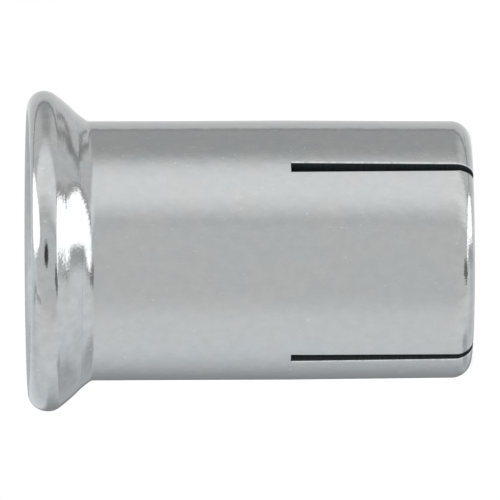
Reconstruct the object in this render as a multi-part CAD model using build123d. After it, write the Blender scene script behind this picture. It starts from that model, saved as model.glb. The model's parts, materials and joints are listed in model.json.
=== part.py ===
from build123d import *
from math import cos, radians, sin, tan
import os

# Lipped drop-in anchor, M12 x 25, for a 15 mm drilled hole.
# Millimetres. The anchor stands on its slotted end at z = 0, with its flared mouth up.
# Its axis is +Z, and the two saw cuts run along X and Y.

os.makedirs("parts", exist_ok=True)

# Shell, outside
overall_length = 25.0        # from the slotted end to the front of the lip
body_d = 14.64               # plain body, just under the 15 mm hole
tip_d = 14.50                # slotted end, whose four legs are pinched in a little
lip_overhang = 1.73          # how far the lip stands out from the body
lip_wall = 2.06              # wall of the flare, rounded all the way over at its edge
flare_angle = 41.0           # from the axis, the same outside and in the mouth
neck_fillet = 0.3            # under the flare, where it was folded out sharply
end_round = 1.1              # outer edge of the slotted end

# Thread, tapped in the upper bore: the solid has the bore that is drilled for the tap
thread_d = 12.0
thread_pitch = 1.75

# Lower bore, where the plug waits and is driven
plug_bore_d = 9.8            # plain stretch under the thread, a step narrower
taper_length = 9.5           # the bore narrows over this length to the slotted end
tip_bore_d = 7.2             # bore at the slotted end
tip_chamfer = 0.3            # inner edge of the slotted end

# Slots, sawn in from the end as two through cuts that cross
slot_length = 10.3
slot_root_width = 0.60
slot_tip_width = 0.43        # narrower than at the root, because the legs are pinched in
saw_offset = 0.39            # each cut passes the axis by this much

# Expander plug
plug_length = 7.0
plug_band = 0.8              # straight band at the top of the plug
plug_travel = 1.8            # free slide before the plug meets the narrowing bore
plug_clearance = 0.05        # all round, between the plug and its bore
plug_gap = 0.3               # between the end of the thread and the plug at rest
plug_edge = 0.35             # chamfer on the plug's two rims

body_r = body_d / 2
tip_r = tip_d / 2
plug_bore_r = plug_bore_d / 2
tip_bore_r = tip_bore_d / 2
tapped_bore_r = (thread_d - thread_pitch) / 2

# The lip ends in one round bead, and both faces of the flare are tangent to it.
bead_r = lip_wall / 2
bead_centre_r = body_r + lip_overhang - bead_r
bead_centre_z = overall_length - bead_r
across_r = bead_r * cos(radians(flare_angle))
across_z = bead_r * sin(radians(flare_angle))
bead_outside = (bead_centre_r + across_r, bead_centre_z - across_z)
bead_crest = (bead_centre_r + across_z, bead_centre_z + across_r)
bead_inside = (bead_centre_r - across_r, bead_centre_z + across_z)
flare_slope = tan(radians(flare_angle))
neck_z = bead_outside[1] - (bead_outside[0] - body_r) / flare_slope
mouth_bottom_z = bead_inside[1] - (bead_inside[0] - tapped_bore_r) / flare_slope

# The bore is tapped, then plain, then narrowing. The plug's straight band has just reached
# the narrowing stretch when the plug has slid as far as it can.
bore_slope = (plug_bore_r - tip_bore_r) / taper_length
plug_top_z = taper_length + plug_travel + plug_band
thread_end_z = plug_top_z + plug_gap
bore_step = tapped_bore_r - plug_bore_r


def bore_radius(z):
    """Radius of the narrowing bore at a height above the slotted end."""
    return tip_bore_r + bore_slope * z


def revolved_shell():
    """The shell before it is sawn: one profile of its wall, turned about the axis."""
    mouth_edge = bore_radius(tip_chamfer)
    with BuildPart() as shell:
        with BuildSketch(Plane.XZ):
            with BuildLine():
                end_face = Line((mouth_edge + tip_chamfer, 0), (tip_r - end_round, 0))
                end_corner = JernArc(end_face @ 1, end_face % 1, end_round, 90)
                FilletPolyline(
                    end_corner @ 1,
                    (body_r, slot_length),
                    (body_r, neck_z),
                    bead_outside,
                    radius=(0, neck_fillet),
                )
                ThreePointArc(bead_outside, bead_crest, bead_inside)
                Polyline(
                    bead_inside,
                    (tapped_bore_r, mouth_bottom_z),
                    (tapped_bore_r, thread_end_z),
                    (plug_bore_r, thread_end_z - bore_step),
                    (plug_bore_r, taper_length),
                    (mouth_edge, tip_chamfer),
                    end_face @ 0,
                )
            make_face()
        revolve(axis=Axis.Z)
    return shell.part


def saw_cut():
    """The blade's path along X, through both walls: a wedge that is widest at the slots' root."""
    with BuildPart() as cut:
        with BuildSketch(Plane.YZ):
            with BuildLine():
                Polyline(
                    (saw_offset - slot_tip_width / 2, 0),
                    (saw_offset + slot_tip_width / 2, 0),
                    (saw_offset + slot_root_width / 2, slot_length),
                    (saw_offset - slot_root_width / 2, slot_length),
                    close=True,
                )
            make_face()
        extrude(amount=body_d, both=True)
    return cut.part


def make_shell():
    """The sleeve in one piece, with the second saw cut made a quarter turn after the first."""
    shell = revolved_shell()
    for quarter_turn in (0, 90):
        shell -= Rot(Z=quarter_turn) * saw_cut()
    return shell


def make_plug():
    """The expander plug: a short band, then a cone that slides down clear of the bore's own."""
    top_r = plug_bore_r - plug_clearance
    bottom_z = plug_top_z - plug_length
    bottom_r = bore_radius(bottom_z - plug_travel) - plug_clearance
    with BuildPart() as plug:
        with BuildSketch(Plane.XZ):
            with BuildLine():
                Polyline(
                    (0, bottom_z),
                    (bottom_r, bottom_z),
                    (top_r, plug_top_z - plug_band),
                    (top_r, plug_top_z),
                    (0, plug_top_z),
                    close=True,
                )
            make_face()
        revolve(axis=Axis.Z)
        ends = plug.edges().filter_by(GeomType.CIRCLE).sort_by(Axis.Z)
        chamfer([ends[0], ends[-1]], length=plug_edge)
    return plug.part


shell = make_shell()
plug = make_plug()

for name, piece in (("anchor_shell", shell), ("expander_plug", plug)):
    piece.label = name
    export_step(piece, f"parts/{name}.step")
    box = piece.bounding_box()
    print(name, f"volume {piece.volume:.1f}", f"from {box.min} to {box.max}")
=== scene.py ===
import json
from math import atan2, cos, pi, radians, sin, sqrt, tan

import bmesh
import bpy
from mathutils import Matrix, Vector


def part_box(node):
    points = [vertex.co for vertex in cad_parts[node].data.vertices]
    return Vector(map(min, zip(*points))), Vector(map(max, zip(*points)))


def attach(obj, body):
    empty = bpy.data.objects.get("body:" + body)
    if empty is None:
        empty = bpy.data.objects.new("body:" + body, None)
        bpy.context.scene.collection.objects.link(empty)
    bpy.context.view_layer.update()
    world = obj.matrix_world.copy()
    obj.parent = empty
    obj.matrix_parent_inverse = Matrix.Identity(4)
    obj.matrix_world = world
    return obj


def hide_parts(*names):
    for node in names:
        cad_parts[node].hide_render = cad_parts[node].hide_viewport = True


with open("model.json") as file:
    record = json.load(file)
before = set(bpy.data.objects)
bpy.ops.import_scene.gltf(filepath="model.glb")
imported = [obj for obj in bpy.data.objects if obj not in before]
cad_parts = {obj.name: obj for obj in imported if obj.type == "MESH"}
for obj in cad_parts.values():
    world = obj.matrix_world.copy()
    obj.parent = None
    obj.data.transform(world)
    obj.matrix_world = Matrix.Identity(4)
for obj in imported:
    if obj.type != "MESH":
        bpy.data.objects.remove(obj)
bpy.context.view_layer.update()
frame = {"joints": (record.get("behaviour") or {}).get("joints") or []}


# Anchor shell: a sleeve cold formed from one blank of mild steel, with its mouth folded out to
# a flared lip. Its whole wall is one profile, drawn here from the slotted end and turned about
# the axis. The thread and the slots are cut in it afterwards.
MM = 0.001
shell_low, shell_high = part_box("anchor_shell")
lip_r = (shell_high.x - shell_low.x) / 2
overall_length = shell_high.z - shell_low.z
body_r = 7.32 * MM
tip_r = 7.25 * MM                # the four legs are pinched in a little
end_round = 1.1 * MM
slot_length = 10.3 * MM
lip_wall = 2.06 * MM
flare_angle = radians(41.0)      # from the axis, the same outside and in the mouth
neck_fillet = 0.45 * MM
crease_step = 0.63 * MM          # from the neck up to a crease where the fold began
fold_angle = radians(38.6)       # from the axis, below the crease
hollow = 0.012 * MM              # the flare sinks in by this much below the crease
bow = 0.036 * MM                 # and stands out by this much above it
thread_major_r = 6.0 * MM
thread_pitch = 1.75 * MM
thread_end_z = 12.4 * MM
plug_bore_r = 4.9 * MM
taper_length = 9.5 * MM
tip_bore_r = 3.6 * MM
tip_chamfer = 0.3 * MM
tapped_bore_r = thread_major_r - thread_pitch / 2

bead_r = lip_wall / 2
bead_centre_r = lip_r - bead_r
bead_centre_z = overall_length - bead_r
bead_outside_r = bead_centre_r + bead_r * cos(flare_angle)
bead_outside_z = bead_centre_z - bead_r * sin(flare_angle)
bead_inside_r = bead_centre_r - bead_r * cos(flare_angle)
bead_inside_z = bead_centre_z + bead_r * sin(flare_angle)
neck_z = bead_outside_z - (bead_outside_r - body_r) / tan(flare_angle)
mouth_bottom_z = bead_inside_z - (bead_inside_r - tapped_bore_r) / tan(flare_angle)
mouth_edge_r = tip_bore_r + (plug_bore_r - tip_bore_r) * tip_chamfer / taper_length
same_point = 0.0005 * MM


def run_to(bm, corner, r, z):
    """Draws a profile straight on to its next corner and returns that corner."""
    drawn = bmesh.ops.extrude_vert_indiv(bm, verts=[corner])["verts"][0]
    drawn.co = (r, 0, z)
    return drawn


def bow_to(bm, corner, r, z, bow, steps=10):
    """Draws a profile on to a corner along a slight bow, which stands out by that much."""
    start_r, start_z = corner.co.x, corner.co.z
    for step in range(1, steps + 1):
        along = step / steps
        bow_r = start_r + (r - start_r) * along + 4 * bow * along * (1 - along)
        corner = run_to(bm, corner, bow_r, start_z + (z - start_z) * along)
    return corner


def arc_about(bm, corner, centre_r, centre_z, angle, steps):
    """Draws a profile on round a centre and returns its last corner."""
    drawn = bmesh.ops.spin(
        bm,
        geom=[corner],
        cent=(centre_r, 0, centre_z),
        axis=(0, -1, 0),
        angle=angle,
        steps=steps,
    )
    return [v for v in drawn["geom_last"] if isinstance(v, bmesh.types.BMVert)][0]


def turn_about_axis(bm, steps):
    """Turns the profile into a closed round solid with its faces pointing out."""
    bmesh.ops.spin(
        bm,
        geom=bm.verts[:] + bm.edges[:],
        cent=(0, 0, 0),
        axis=(0, 0, 1),
        angle=2 * pi,
        steps=steps,
        use_merge=True,
    )
    bmesh.ops.remove_doubles(bm, verts=bm.verts[:], dist=same_point)
    bmesh.ops.recalc_face_normals(bm, faces=bm.faces[:])


def piece_from(bm, name):
    """Makes an object at the origin from a finished bmesh, with all its faces smooth."""
    for face in bm.faces:
        face.smooth = True
    mesh = bpy.data.meshes.new(name)
    bm.to_mesh(mesh)
    bm.free()
    piece = bpy.data.objects.new(name, mesh)
    bpy.context.scene.collection.objects.link(piece)
    return piece


shell_steps = 288
end_steps = 16
neck_steps = 8
bead_steps = 48
crease_z = neck_z + crease_step
crease_r = body_r + crease_step * tan(flare_angle)
fold_z = crease_z - crease_step * tan(flare_angle) / tan(fold_angle)
neck_start_z = fold_z - neck_fillet * tan(fold_angle / 2)

wall = bmesh.new()
first = wall.verts.new((mouth_edge_r + tip_chamfer, 0, 0))
corner = run_to(wall, first, tip_r - end_round, 0)
corner = arc_about(wall, corner, tip_r - end_round, end_round, pi / 2, end_steps)
corner = run_to(wall, corner, body_r, slot_length)
corner = run_to(wall, corner, body_r, neck_start_z)
corner = arc_about(wall, corner, body_r + neck_fillet, neck_start_z, -fold_angle, neck_steps)
corner = bow_to(wall, corner, crease_r, crease_z, -hollow)
corner = bow_to(wall, corner, bead_outside_r, bead_outside_z, bow)
corner = arc_about(wall, corner, bead_centre_r, bead_centre_z, pi, bead_steps)
corner = run_to(wall, corner, tapped_bore_r, mouth_bottom_z)
corner = run_to(wall, corner, tapped_bore_r, thread_end_z)
corner = run_to(wall, corner, plug_bore_r, thread_end_z - (tapped_bore_r - plug_bore_r))
corner = run_to(wall, corner, plug_bore_r, taper_length)
corner = run_to(wall, corner, mouth_edge_r, tip_chamfer)
wall.edges.new((corner, first))
turn_about_axis(wall, shell_steps)

# The mouth was not folded out quite evenly. On one side the underside of the lip leans, and a
# little further round the edge is rolled to a tighter corner.
leaning_side = Vector((0.228, -0.974))
lip_lean = 0.017
lean_run = 1.5 * MM
tight_side = Vector((0.803, -0.596))
tighter_corner = 0.2 * MM
within = 0.01 * MM
for v in wall.verts:
    outward = v.co.xy.normalized()
    from_bead = Vector((v.co.xy.length - bead_centre_r, v.co.z - bead_centre_z))
    if abs(from_bead.length - bead_r) < within:
        tight = tighter_corner * max(0.0, outward.dot(tight_side)) ** 2
        shift = tight * (1 + sin(flare_angle)) / cos(flare_angle)
        round_bead = atan2(from_bead.y, from_bead.x)
        if round_bead < pi / 2:
            v.co.xy += outward * (shift - tight * cos(round_bead))
            v.co.z += tight * (1 - sin(round_bead))
        else:
            v.co.xy += outward * shift * (1 - (round_bead - pi / 2) / (pi / 2 - flare_angle))
    if v.co.xy.length > body_r - 2 * within and v.co.z > slot_length:
        rising = min(1.0, max(0.0, 1 + (v.co.z - neck_z) / lean_run))
        fading = min(1.0, (overall_length - v.co.z) / bead_r)
        v.co.z -= lip_lean * rising * fading * v.co.xy.dot(leaning_side)

OUTSIDE, BORE, SAWN = range(3)
for face in wall.faces:
    middle = face.calc_center_median()
    in_bore = middle.xy.length < tapped_bore_r + within and middle.z > 0
    face.material_index = BORE if in_bore else OUTSIDE
shell = piece_from(wall, "shell_with_thread_and_slots")


# Inside thread: right-hand M12 x 1.75, tapped down from the mouth. The tap's ridge is one
# helical cutter with 60 degree flanks. Its last turn and a half grow shallow, as the lead of a
# real tap leaves them.
tap_steps = 120
tap_turns = 7
tap_base_r = 4.95 * MM
tap_start_z = thread_end_z + thread_pitch / 2
tap_lead = 1.5 * thread_pitch
least_depth = 0.02
flank_angle = radians(30)
crest_half = thread_pitch / 16
base_half = crest_half + (thread_major_r - tap_base_r) * tan(flank_angle)

tap = bmesh.new()
ridge = [
    tap.verts.new((r, 0, tap_start_z + z))
    for r, z in (
        (tap_base_r, -base_half),
        (thread_major_r, -crest_half),
        (thread_major_r, crest_half),
        (tap_base_r, base_half),
    )
]
ridge_face = tap.faces.new(ridge)
bmesh.ops.spin(
    tap,
    geom=[ridge_face],
    cent=(0, 0, 0),
    axis=(0, 0, 1),
    dvec=(0, 0, thread_pitch / tap_steps),
    angle=2 * pi * tap_turns,
    steps=tap_steps * tap_turns,
)
for v in tap.verts:
    depth = v.co.xy.length - tap_base_r
    grown = min(1.0, max(least_depth, (v.co.z + base_half - tap_start_z) / tap_lead))
    v.co.xy *= (tap_base_r + depth * sqrt(grown)) / v.co.xy.length
bmesh.ops.recalc_face_normals(tap, faces=tap.faces[:])
for face in tap.faces:
    face.material_index = BORE
tap_piece = piece_from(tap, "tap")


# Slots: two through cuts of one saw, a quarter turn apart, each a little beside the axis. They
# are widest at their root, because the legs are pinched in. The flared ends of the cutter make
# the fine bevel on their outer edges.
slot_root_width = 0.60 * MM
slot_tip_width = 0.43 * MM
saw_offset = 0.39 * MM
edge_bevel = 0.035 * MM
below_end = 0.5 * MM
beyond_body = 0.6 * MM
sharp_from = radians(32)

width_below = slot_tip_width - (slot_root_width - slot_tip_width) * below_end / slot_length
spread = slot_root_width / width_below
half = width_below / 2
edge_x = sqrt(tip_r**2 - saw_offset**2) - edge_bevel
far_x = edge_x + beyond_body
saw_pieces = []
for quarter_turn in (0, 1):
    saw = bmesh.new()
    outline = [
        saw.verts.new((x, y, -below_end))
        for x, y in (
            (-far_x, -half - beyond_body),
            (-edge_x, -half),
            (edge_x, -half),
            (far_x, -half - beyond_body),
            (far_x, half + beyond_body),
            (edge_x, half),
            (-edge_x, half),
            (-far_x, half + beyond_body),
        )
    ]
    blade = saw.faces.new(outline)
    raised = bmesh.ops.extrude_face_region(saw, geom=[blade])["geom"]
    raised = [v for v in raised if isinstance(v, bmesh.types.BMVert)]
    bmesh.ops.scale(saw, verts=raised, vec=(body_r / tip_r, spread, 1))
    bmesh.ops.translate(saw, verts=raised, vec=(0, 0, slot_length + below_end))
    bmesh.ops.translate(saw, verts=saw.verts[:], vec=(0, saw_offset, 0))
    about_axis = Matrix.Rotation(quarter_turn * pi / 2, 3, "Z")
    bmesh.ops.rotate(saw, verts=saw.verts[:], cent=(0, 0, 0), matrix=about_axis)
    bmesh.ops.recalc_face_normals(saw, faces=saw.faces[:])
    for face in saw.faces:
        flared = face.calc_center_median().xy.length > body_r / 2
        face.material_index = OUTSIDE if flared else SAWN
    saw_pieces.append(piece_from(saw, f"saw_{quarter_turn}"))

for piece in (shell, tap_piece, *saw_pieces):
    for _ in (OUTSIDE, BORE, SAWN):
        piece.data.materials.append(None)
for cutter in (tap_piece, *saw_pieces):
    cut = shell.modifiers.new("cut", "BOOLEAN")
    cut.operation = "DIFFERENCE"
    cut.solver = "MANIFOLD"
    cut.object = cutter
bpy.context.view_layer.update()
cut_mesh = bpy.data.meshes.new_from_object(
    shell.evaluated_get(bpy.context.evaluated_depsgraph_get())
)
shell.modifiers.clear()
shell.data = cut_mesh
for cutter in (tap_piece, *saw_pieces):
    bpy.data.objects.remove(cutter)
shell.data.set_sharp_from_angle(angle=sharp_from)


# Zinc plate: bright electroplated zinc, faintly blue. The plain body is satin from the drawing
# die, with fine scuffs along the axis, cloudy patches and small nicks whose colour is lightened as
# a painted glint. The lip and the rounded end were rolled to shape, so they are glossier and
# carry fine rings round the axis.
def add_node(tree, kind, inputs=None, **settings):
    """Adds a node with its settings, and feeds its inputs from numbers or other sockets."""
    node = tree.nodes.new(kind)
    for name, value in settings.items():
        setattr(node, name, value)
    for key, source in (inputs or {}).items():
        if isinstance(source, bpy.types.NodeSocket):
            tree.links.new(source, node.inputs[key])
        else:
            node.inputs[key].default_value = source
    return node


def calc(tree, operation, *values):
    """Adds one Math node and returns its result."""
    return add_node(
        tree, "ShaderNodeMath", dict(enumerate(values)), operation=operation
    ).outputs[0]


def step_over(tree, value, start, end, low=0.0, high=1.0):
    """A smooth change from low to high while the value goes from start to end."""
    return add_node(
        tree,
        "ShaderNodeMapRange",
        {0: value, 1: start, 2: end, 3: low, 4: high},
        interpolation_type="SMOOTHSTEP",
    ).outputs[0]


def vector_calc(tree, operation, *values):
    """Adds one Vector Math node and returns its two results, a vector and a number."""
    return add_node(
        tree, "ShaderNodeVectorMath", dict(enumerate(values)), operation=operation
    ).outputs


def from_the_axis(tree, place):
    """The distance of a place from the anchor's axis."""
    return vector_calc(tree, "LENGTH", vector_calc(tree, "MULTIPLY", place, (1, 1, 0))[0])[1]


def noise(tree, place, scale, detail):
    """A cloudy pattern, with about this many clouds in a metre."""
    return add_node(
        tree, "ShaderNodeTexNoise", {"Vector": place, "Scale": scale, "Detail": detail}
    ).outputs[0]


def mix_values(tree, share, first, second):
    """A value between two others, by the share of the second one."""
    return add_node(tree, "ShaderNodeMix", {0: share, 2: first, 3: second}).outputs[0]


def mix_colours(tree, share, first, second):
    """A colour between two others, by the share of the second one."""
    return add_node(
        tree, "ShaderNodeMix", {0: share, 6: first, 7: second}, data_type="RGBA"
    ).outputs[2]


def start_metal(name, metallic):
    """Starts a metal and returns it with its node tree, its shader and the place on the piece."""
    metal = bpy.data.materials.new(name)
    metal.use_nodes = True
    tree = metal.node_tree
    shader = tree.nodes["Principled BSDF"]
    shader.inputs["Metallic"].default_value = metallic
    return metal, tree, shader, add_node(tree, "ShaderNodeTexCoord").outputs["Object"]


def set_relief(tree, shader, height, distance):
    """Gives a metal a fine relief, of a height times a distance."""
    bump = add_node(
        tree, "ShaderNodeBump", {"Height": height, "Distance": distance, "Strength": 1.0}
    ).outputs[0]
    tree.links.new(bump, shader.inputs["Normal"])


FLOAT, VECTOR = "NodeSocketFloat", "NodeSocketVector"


def effect_group(name, inputs):
    """Starts a shader node group with one mask as its output, and returns it with both its ends."""
    group = bpy.data.node_groups.new(name, "ShaderNodeTree")
    for socket, kind in inputs.items():
        group.interface.new_socket(socket, in_out="INPUT", socket_type=kind)
    group.interface.new_socket("Fac", in_out="OUTPUT", socket_type=FLOAT)
    given = group.nodes.new("NodeGroupInput").outputs
    return group, given, group.nodes.new("NodeGroupOutput").inputs["Fac"]


def use_group(tree, group, inputs):
    """Places a shader node group in a material and returns its mask."""
    return add_node(tree, "ShaderNodeGroup", inputs, node_tree=group).outputs["Fac"]


# Marks drawn out along the axis, by their size across it and how many times longer they are.
scuffs, given, mask = effect_group(
    "drawn_scuffs", {"Vector": VECTOR, "Size": FLOAT, "Length": FLOAT}
)
parts = add_node(scuffs, "ShaderNodeSeparateXYZ", {0: given["Vector"]}).outputs
drawn = add_node(
    scuffs,
    "ShaderNodeCombineXYZ",
    {0: parts[0], 1: parts[1], 2: calc(scuffs, "DIVIDE", parts[2], given["Length"])},
).outputs[0]
scuff_noise = add_node(
    scuffs,
    "ShaderNodeTexNoise",
    {
        "Vector": drawn,
        "Scale": calc(scuffs, "DIVIDE", 1.0, given["Size"]),
        "Detail": 3.0,
        "Roughness": 0.6,
    },
).outputs[0]
scuffs.links.new(scuff_noise, mask)

# Fine rings round the axis, by their spacing and how far they waver.
rings, given, mask = effect_group(
    "turned_rings", {"Vector": VECTOR, "Spacing": FLOAT, "Waver": FLOAT}
)
parts = add_node(rings, "ShaderNodeSeparateXYZ", {0: given["Vector"]}).outputs
waver = noise(rings, given["Vector"], 500.0, 1.0)
height = calc(rings, "MULTIPLY_ADD", waver, given["Waver"], parts[2])
ring_noise = add_node(
    rings,
    "ShaderNodeTexNoise",
    {"W": calc(rings, "DIVIDE", height, given["Spacing"]), "Scale": 1.0, "Detail": 2.0},
    noise_dimensions="1D",
).outputs[0]
rings.links.new(ring_noise, mask)

zinc, tree, plate, place = start_metal("bright_zinc_plate", 1.0)
place_x, place_y, place_z = add_node(tree, "ShaderNodeSeparateXYZ", {0: place}).outputs
from_axis = from_the_axis(tree, place)
on_lip = step_over(tree, place_z, neck_z - 0.15 * MM, neck_z + 0.1 * MM)
on_end = step_over(tree, place_z, 1.35 * MM, 0.9 * MM)
rolled = calc(tree, "MAXIMUM", on_lip, on_end)

cloud = noise(tree, place, 420.0, 5.0)
speck = noise(tree, place, 3300.0, 2.0)
waves = use_group(tree, scuffs, {"Vector": place, "Size": 1.3 * MM, "Length": 2.5})
fine = use_group(tree, scuffs, {"Vector": place, "Size": 0.11 * MM, "Length": 9.0})
scratch = use_group(tree, scuffs, {"Vector": place, "Size": 0.05 * MM, "Length": 14.0})
ring = use_group(tree, rings, {"Vector": place, "Spacing": 0.09 * MM, "Waver": 0.05 * MM})
nicks = step_over(tree, speck, 0.69, 0.75)
marks = calc(tree, "MAXIMUM", nicks, step_over(tree, scratch, 0.665, 0.74))

# Each shade is a factor of the plating's colour. The first two are its own unevenness, and the
# third is a painted glint on its nicks and scratches.
fine_shade = step_over(tree, fine, 0.3, 0.7, 0.994, 1.006)
mottle = calc(tree, "MULTIPLY_ADD", rolled, 0.03, 0.02)
blotch = step_over(tree, noise(tree, place, 1700.0, 3.0), 0.3, 0.7, -1.0, 1.0)
mottled_shade = calc(tree, "MULTIPLY_ADD", blotch, mottle, 1.0)
# Painted glint: the nicks and scratches lighten the colour by up to a sixth.
painted_mark_glint = calc(tree, "MULTIPLY_ADD", marks, 0.16, 1.0)

# A darker line runs round the lip's underside along the crease: painted shade of the crease,
# ragged along its length.
leant = vector_calc(
    tree, "DOT_PRODUCT", place, (lip_lean * leaning_side.x, lip_lean * leaning_side.y, 1.0)
)[1]
from_crease = calc(tree, "ABSOLUTE", calc(tree, "SUBTRACT", leant, crease_z))
painted_crease_shade = calc(
    tree,
    "MULTIPLY",
    step_over(tree, from_crease, 0.04 * MM, 0.01 * MM),
    step_over(tree, speck, 0.3, 0.6, 0.03, 0.13),
)
crease_shade_factor = calc(tree, "SUBTRACT", 1.0, painted_crease_shade)

# One black streak on the lip, where a tool rubbed its zinc off. It is six times as long round
# the lip as it is wide along the axis, and its outline is ragged.
streak_at = (7.31 * MM, -5.67 * MM, 24.16 * MM)
times_longer = 6.0
ragged = 0.7 * MM
apart = vector_calc(tree, "SUBTRACT", place, streak_at)[0]
apart = vector_calc(tree, "MULTIPLY", apart, (1.0, 1.0, times_longer))[0]
apart = vector_calc(tree, "LENGTH", apart)[1]
apart = calc(tree, "MULTIPLY_ADD", noise(tree, place, 14000.0, 1.0), ragged, apart)
streak_shade = step_over(tree, apart, 0.75 * MM, 1.3 * MM, 0.10, 1.0)

# Along one edge of each cut, where the blade rolled it over, the colour is lightened in ragged
# patches: a painted highlight on the edge.
cut_edge = calc(
    tree,
    "MULTIPLY_ADD",
    place_z,
    (slot_root_width - slot_tip_width) / 2 / slot_length,
    slot_tip_width / 2 + saw_offset,
)
edge_highlight = 0.0
for across_cut in (place_y, calc(tree, "MULTIPLY", place_x, -1.0)):
    beside = calc(tree, "SUBTRACT", across_cut, cut_edge)
    near_edge = calc(
        tree,
        "MULTIPLY",
        step_over(tree, beside, -0.03 * MM, 0.0),
        step_over(tree, beside, 0.2 * MM, 0.05 * MM),
    )
    edge_highlight = calc(tree, "MAXIMUM", near_edge, edge_highlight)
edge_highlight = calc(
    tree, "MULTIPLY", edge_highlight, step_over(tree, place_z, slot_length, slot_length - 0.1 * MM)
)
# Painted highlight: the colour is lightened in ragged patches along the edge.
painted_edge_highlight = calc(tree, "MULTIPLY", edge_highlight, step_over(tree, speck, 0.3, 0.6, 0.15, 0.5))
edge_highlight_shade = calc(tree, "ADD", painted_edge_highlight, 1.0)

# The tools that rolled the lip never touched the mouth inside it, which is duller and rough.
underside_z = calc(
    tree, "MULTIPLY_ADD", from_axis, 1 / tan(flare_angle), neck_z - body_r / tan(flare_angle)
)
from_underside = calc(tree, "SUBTRACT", place_z, underside_z)
in_mouth = on_lip
for inside in (
    step_over(tree, from_axis, bead_centre_r + 0.05 * MM, bead_centre_r - 0.2 * MM),
    step_over(tree, from_underside, 0.6 * MM, 1.0 * MM),
):
    in_mouth = calc(tree, "MULTIPLY", in_mouth, inside)
mouth_shade = calc(tree, "MULTIPLY_ADD", in_mouth, -0.12, 1.0)
mouth_roughness = 0.6

cool, warm = (0.614, 0.642, 0.649, 1), (0.634, 0.646, 0.641, 1)
shaded = mix_colours(tree, step_over(tree, cloud, 0.35, 0.65), cool, warm)
for shade in (
    fine_shade,
    mottled_shade,
    painted_mark_glint,
    crease_shade_factor,
    streak_shade,
    edge_highlight_shade,
    mouth_shade,
):
    shaded = vector_calc(tree, "MULTIPLY", shaded, shade)[0]
tree.links.new(shaded, plate.inputs["Base Color"])

# Satin on the body and glossy where it was rolled. Satin metal, too, mirrors more sharply at a
# grazing angle.
grazing = add_node(tree, "ShaderNodeLayerWeight", {"Blend": 0.5}).outputs["Facing"]
satin = calc(tree, "MULTIPLY_ADD", cloud, 0.10, 0.14)
satin = calc(tree, "MULTIPLY", satin, step_over(tree, grazing, 0.45, 0.8, 1.0, 0.4))
glossy = calc(tree, "MULTIPLY_ADD", cloud, 0.04, 0.06)
rough = mix_values(tree, rolled, satin, glossy)
rough = mix_values(tree, in_mouth, rough, mouth_roughness)
rough = calc(tree, "MULTIPLY_ADD", marks, 0.15, rough)
tree.links.new(rough, plate.inputs["Roughness"])

# The heights of its relief are in millimetres.
dents = noise(tree, place, 1100.0, 3.0)
satin_relief = calc(tree, "MULTIPLY", waves, 0.002)
for pattern, height in ((fine, 0.00015), (marks, 0.0015), (dents, 0.014)):
    satin_relief = calc(tree, "MULTIPLY_ADD", pattern, height, satin_relief)
lumps = noise(tree, place, 6000.0, 2.0)
lump_height = calc(tree, "MULTIPLY_ADD", on_end, 0.005, 0.0035)
rolled_relief = calc(tree, "MULTIPLY", waves, 0.008)
for pattern, height in ((ring, 0.001), (lumps, lump_height)):
    rolled_relief = calc(tree, "MULTIPLY_ADD", pattern, height, rolled_relief)
set_relief(tree, plate, mix_values(tree, rolled, satin_relief, rolled_relief), MM)

# Bore and thread: the same plating, thin and dull where the solution hardly reached, with a
# film of cutting oil in the grooves.
tapped, tree, plate, place = start_metal("oiled_thread", 1.0)
stain = noise(tree, place, 900.0, 4.0)
ring = use_group(tree, rings, {"Vector": place, "Spacing": 0.06 * MM, "Waver": 0.03 * MM})
dull, clean = (0.30, 0.30, 0.29, 1), (0.46, 0.47, 0.47, 1)
oiled = mix_colours(tree, step_over(tree, stain, 0.3, 0.7), dull, clean)
tree.links.new(oiled, plate.inputs["Base Color"])
tree.links.new(calc(tree, "MULTIPLY_ADD", stain, 0.25, 0.22), plate.inputs["Roughness"])
set_relief(tree, plate, ring, 0.001 * MM)

# Sawn walls: bare steel, very dark and rough, with the blade's tooth marks.
sawn, tree, bare, place = start_metal("sawn_dark_steel", 0.3)
tooth = use_group(tree, rings, {"Vector": place, "Spacing": 0.12 * MM, "Waver": 0.2 * MM})
darkest_wall, less_dark_wall = (0.05, 0.062, 0.067, 1), (0.12, 0.14, 0.147, 1)
tree.links.new(mix_colours(tree, tooth, darkest_wall, less_dark_wall), bare.inputs["Base Color"])
tree.links.new(calc(tree, "MULTIPLY_ADD", tooth, 0.2, 0.45), bare.inputs["Roughness"])

shell.data.materials[OUTSIDE] = zinc
shell.data.materials[BORE] = tapped
shell.data.materials[SAWN] = sawn
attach(shell, "shell")
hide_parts("anchor_shell")


# Expander plug: a short band and a long cone turned from plain steel bar, with a chamfer at
# each rim and a flat top, where the setting punch lands. It waits in the bore, a hair clear
# of it, and slides down until its cone meets the bore's own.
plug_low, plug_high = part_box("expander_plug")
plug_top_r = (plug_high.x - plug_low.x) / 2
plug_edge = 0.35 * MM
plug_band = 0.8 * MM
plug_steps = 144
plug_sharp_from = radians(20)
plug_travel = frame["joints"][0]["range_m"][1]
bore_slope = (plug_bore_r - tip_bore_r) / taper_length
plug_clearance = plug_bore_r - plug_top_r
plug_bottom_r = tip_bore_r + bore_slope * (plug_low.z - plug_travel) - plug_clearance
cone_slope = (plug_top_r - plug_bottom_r) / (plug_high.z - plug_band - plug_low.z)

turning = bmesh.new()
corner = turning.verts.new((0, 0, plug_low.z))
for r, z in (
    (plug_bottom_r - plug_edge, plug_low.z),
    (plug_bottom_r + cone_slope * plug_edge, plug_low.z + plug_edge),
    (plug_top_r, plug_high.z - plug_band),
    (plug_top_r, plug_high.z - plug_edge),
    (plug_top_r - plug_edge, plug_high.z),
    (0, plug_high.z),
):
    corner = run_to(turning, corner, r, z)
turn_about_axis(turning, plug_steps)
plug = piece_from(turning, "turned_plug")
plug.data.set_sharp_from_angle(angle=plug_sharp_from)

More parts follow.
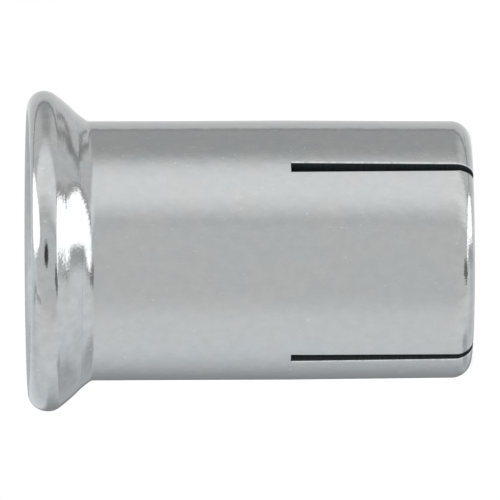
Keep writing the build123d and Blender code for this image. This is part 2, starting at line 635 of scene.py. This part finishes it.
# Its tool marks run round it, on its flat ends as on its sides.
steel, tree, turned, place = start_metal("turned_steel", 1.0)
place_z = add_node(tree, "ShaderNodeSeparateXYZ", {0: place}).outputs[2]
fed = calc(tree, "ADD", from_the_axis(tree, place), place_z)
fed = add_node(tree, "ShaderNodeCombineXYZ", {2: fed}).outputs[0]
tool_marks = use_group(tree, rings, {"Vector": fed, "Spacing": 0.07 * MM, "Waver": 0.0})
haze = noise(tree, place, 700.0, 4.0)
dark, bright = (0.33, 0.33, 0.325, 1), (0.45, 0.45, 0.44, 1)
oily = mix_colours(tree, step_over(tree, haze, 0.3, 0.7), dark, bright)
tree.links.new(oily, turned.inputs["Base Color"])
tree.links.new(calc(tree, "MULTIPLY_ADD", haze, 0.2, 0.2), turned.inputs["Roughness"])
set_relief(tree, turned, tool_marks, 0.004 * MM)
plug.data.materials.append(steel)
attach(plug, "plug")
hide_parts("expander_plug")


# Studio: a white sweep, and round the anchor a light tent whose panels its plating mirrors.
# The photograph's camera looks level at the side of the anchor, whose own axis is upright here,
# so the tent is laid out by the way to the camera, to the photograph's top and to the mouth.
camera_azimuth = radians(53.4)
world = bpy.data.worlds.new("studio")
bpy.context.scene.world = world
world.use_nodes = True
sky = world.node_tree
way = add_node(sky, "ShaderNodeTexCoord").outputs["Generated"]
way = add_node(
    sky,
    "ShaderNodeMapping",
    {"Vector": way, "Rotation": (0, 0, pi / 2 - camera_azimuth)},
    vector_type="POINT",
).outputs[0]
to_camera, to_photo_top, to_mouth = add_node(sky, "ShaderNodeSeparateXYZ", {0: way}).outputs

# The tent's wall, by its brightness at angles in degrees round the axis from the camera.
wall_lean = -0.15  # its upright edges lean by this much
turn = calc(sky, "ARCTAN2", to_photo_top, to_camera)
turn_leant = calc(sky, "MULTIPLY_ADD", to_mouth, wall_lean, turn)
around = calc(sky, "MULTIPLY_ADD", turn_leant, 0.5 / pi, 0.5)
walls = add_node(sky, "ShaderNodeValToRGB", {0: around})
tent_wall = (
    (-180, 0.76),
    (-165, 0.76),
    (-144, 0.70),
    (-120, 0.74),
    (-98, 0.80),
    (-62, 0.80),
    (-46, 0.69),
    (-38, 0.67),
    (20, 0.67),
    (26, 0.60),
    (40, 0.86),
    (50, 0.96),
    (68, 0.96),
    (80, 0.88),
    (87, 0.68),
    (93, 0.52),
    (100, 0.45),
    (134, 0.44),
    (136, 0.33),
    (139, 0.33),
    (140, 0.62),
    (165, 0.68),
    (180, 0.80),
)
band = walls.color_ramp.elements
for stop, (_, light) in zip(band, (tent_wall[0], tent_wall[-1])):
    stop.color = (light, light, light, 1)
for degrees, light in tent_wall[1:-1]:
    band.new(degrees / 360 + 0.5).color = (light, light, light, 1)
tent = walls.outputs[0]


def window(value, low, high, soft):
    """One inside the two soft edges of a value, and zero outside them."""
    return calc(
        sky,
        "MULTIPLY",
        step_over(sky, value, low - soft, low + soft),
        step_over(sky, value, high + soft, high - soft),
    )


def lay_over(under, light, *masks):
    """Lays a panel of one brightness over the tent where all of its masks are one."""
    mask = masks[0]
    for other in masks[1:]:
        mask = calc(sky, "MULTIPLY", mask, other)
    return mix_values(sky, mask, under, light)


# Panels beyond the mouth and beyond the slotted end, by how far they reach towards the camera
# (forth) and towards the photograph's top (across), for a distance of one along the axis.
least_rise = 0.02
above = calc(sky, "MAXIMUM", to_mouth, least_rise)
below = calc(sky, "MAXIMUM", calc(sky, "MULTIPLY", to_mouth, -1.0), least_rise)
forth_above = calc(sky, "DIVIDE", to_camera, above)
forth_below = calc(sky, "DIVIDE", to_camera, below)
across_above = calc(sky, "DIVIDE", to_photo_top, above)
across_below = calc(sky, "DIVIDE", to_photo_top, below)
up_side = step_over(sky, to_mouth, 0.15, 0.3)
under_side = step_over(sky, to_mouth, -0.15, -0.3)
off_level = calc(sky, "ABSOLUTE", to_mouth)

# The side that the anchor lies on is in shade, most of all near the level of its axis.
shaded = calc(
    sky,
    "MULTIPLY",
    step_over(sky, turn, radians(-100), radians(-176), 0.0, 0.66),
    step_over(sky, to_mouth, 0.12, 0.0),
)
shaded = calc(sky, "MULTIPLY", shaded, step_over(sky, to_mouth, -0.5, -0.12, 0.1, 1.0))
tent = calc(sky, "MULTIPLY", tent, calc(sky, "SUBTRACT", 1.0, shaded))
# The dark opening in the tent's top side is only as high as the anchor.
tent = lay_over(
    tent,
    0.64,
    window(turn_leant, radians(88), radians(132), 0.06),
    step_over(sky, off_level, 0.08, 0.5),
)
# Towards the camera, over it: a dull patch.
tent = lay_over(
    tent, 0.6, window(turn, radians(-13), radians(8), 0.05), window(to_mouth, 0.15, 0.4, 0.06)
)
# A dark frame beside the panel beyond the mouth.
bent = calc(sky, "MAXIMUM", forth_above, 0.0)
frame_above = calc(sky, "MULTIPLY_ADD", bent, 0.7, across_above)
tent = lay_over(
    tent, 0.45, window(frame_above, -0.3, -0.22, 0.03), window(forth_above, -0.4, 0.8, 0.1), up_side
)
# A dark gap by the panel beyond the slotted end, then a dim stretch low down behind it, and a
# thin frame in front of it.
slanting = calc(sky, "MULTIPLY_ADD", across_below, 0.43, forth_below)
tent = lay_over(
    tent,
    0.2,
    window(across_below, -0.42, -0.14, 0.04),
    window(slanting, 0.09, 0.6, 0.04),
    under_side,
)
tent = lay_over(
    tent,
    0.5,
    window(across_below, -1.5, -0.84, 0.1),
    window(forth_below, -6.0, -0.3, 0.2),
    under_side,
)
frame_below = calc(sky, "MULTIPLY_ADD", forth_below, 0.3, across_below)
tent = lay_over(
    tent,
    0.3,
    window(frame_below, 0.57, 0.63, 0.02),
    window(forth_below, -2.2, -0.5, 0.05),
    under_side,
)


def disc(across, forth, middle, spread, soft):
    """One inside an oval light panel seen along the axis, fading over its soft edge."""
    sideways = calc(sky, "DIVIDE", calc(sky, "SUBTRACT", across, middle[0]), spread[0])
    lengthways = calc(sky, "DIVIDE", calc(sky, "SUBTRACT", forth, middle[1]), spread[1])
    squares = calc(
        sky,
        "MULTIPLY_ADD",
        sideways,
        sideways,
        calc(sky, "MULTIPLY", lengthways, lengthways),
    )
    return step_over(sky, calc(sky, "SQRT", squares), 1 + soft, 1 - soft)


# Oval light panels on the axis, one beyond the mouth and one beyond the slotted end. The second
# has a darker border, and something small in front hides a part of it.
panel_light = 1.7
panel_above = disc(across_above, forth_above, (0.25, 0.08), (0.28, 0.75), 0.12)
tent = lay_over(tent, panel_light, panel_above, up_side)
middle_below = (0.02, -0.13)
border = calc(
    sky,
    "MULTIPLY",
    disc(across_below, forth_below, middle_below, (0.5, 0.5), 0.06),
    step_over(sky, across_below, 0.15, 0.3),
)
tent = lay_over(tent, 0.42, border, under_side)
hidden = calc(
    sky,
    "MULTIPLY",
    window(across_below, -0.7, 0.04, 0.04),
    window(calc(sky, "MULTIPLY_ADD", across_below, 0.3, forth_below), -0.7, 0.155, 0.025),
)
panel_below = disc(across_below, forth_below, middle_below, (0.43, 0.43), 0.05)
panel_below = calc(sky, "MULTIPLY", panel_below, calc(sky, "SUBTRACT", 1.0, hidden))
tent = lay_over(tent, panel_light, panel_below, under_side)
tent = lay_over(tent, 0.5, hidden, window(across_below, -0.1, 0.2, 0.05), under_side)

# The tent's low side gets its light from a window, and is a little bluer. The camera itself
# sees only white.
white, daylight = (1.0, 1.0, 1.0, 1), (0.975, 1.0, 1.03, 1)
low_side = step_over(sky, turn, radians(-50), radians(-110))
tent = vector_calc(sky, "MULTIPLY", mix_colours(sky, low_side, white, daylight), tent)[0]
seen_directly = add_node(sky, "ShaderNodeLightPath").outputs["Is Camera Ray"]
shown = mix_colours(sky, seen_directly, tent, white)
sky.links.new(shown, sky.nodes["Background"].inputs["Color"])

# The sweep is white with a soft shadow where the camera sees it, and matt for the light that it
# gives back. The plating doesn't mirror it, and from below it is clear.
sweep_half = 0.6
floor_mesh = bmesh.new()
bmesh.ops.create_grid(floor_mesh, x_segments=1, y_segments=1, size=sweep_half)
floor = piece_from(floor_mesh, "floor")
paper = bpy.data.materials.new("white_sweep")
paper.use_nodes = True
tree = paper.node_tree
tree.nodes.clear()
path = add_node(tree, "ShaderNodeLightPath").outputs
matt = add_node(tree, "ShaderNodeBsdfDiffuse", {"Color": (0.85, 0.85, 0.85, 1)}).outputs[0]
shadow = add_node(tree, "ShaderNodeBsdfDiffuse", {"Color": (0.35, 0.35, 0.35, 1)}).outputs[0]
glow = add_node(tree, "ShaderNodeEmission", {"Color": white, "Strength": 0.8}).outputs[0]
seen = add_node(tree, "ShaderNodeAddShader", {0: shadow, 1: glow}).outputs[0]
lit = add_node(
    tree, "ShaderNodeMixShader", {0: path["Is Camera Ray"], 1: matt, 2: seen}
).outputs[0]
clear = add_node(tree, "ShaderNodeBsdfTransparent").outputs[0]
from_under = add_node(tree, "ShaderNodeNewGeometry").outputs["Backfacing"]
unseen = calc(tree, "MAXIMUM", path["Is Glossy Ray"], from_under)
sweep = add_node(tree, "ShaderNodeMixShader", {0: unseen, 1: lit, 2: clear}).outputs[0]
add_node(tree, "ShaderNodeOutputMaterial", {"Surface": sweep})
floor.data.materials.append(paper)


# Camera: level with the anchor and far off, as a long lens is, and turned on its side so that
# the mouth is at the left of the picture. The anchor's middle isn't quite the photograph's.
bpy.context.scene.view_settings.view_transform = "Standard"
PHOTO_PX = 500
mm_per_px = 0.05645
axis_px_x = 249.05
axis_px_y = 250.17
camera_distance = 1.3
camera_yaw = radians(1.84)
camera_roll = radians(0.23)
back = Vector(
    (
        sin(camera_azimuth) * cos(camera_yaw),
        -cos(camera_azimuth) * cos(camera_yaw),
        sin(camera_yaw),
    )
)
up = Vector((cos(camera_azimuth), sin(camera_azimuth), 0))
right = up.cross(back)
px = mm_per_px * MM
target = Vector((0, 0, overall_length / 2))
target += right * (PHOTO_PX / 2 - axis_px_x) * px
target -= up * (PHOTO_PX / 2 - axis_px_y) * px
lens = bpy.data.cameras.new("camera")
lens.sensor_width = 36
lens.lens = lens.sensor_width / 2 / (PHOTO_PX / 2 * px / camera_distance)
lens.clip_start = 0.1
lens.clip_end = 20
camera = bpy.data.objects.new("camera", lens)
bpy.context.scene.collection.objects.link(camera)
facing = Matrix((right, up, back)).transposed().to_4x4()
camera.matrix_world = (
    Matrix.Translation(target + back * camera_distance)
    @ facing
    @ Matrix.Rotation(-camera_roll, 4, "Z")
)
bpy.context.scene.camera = camera
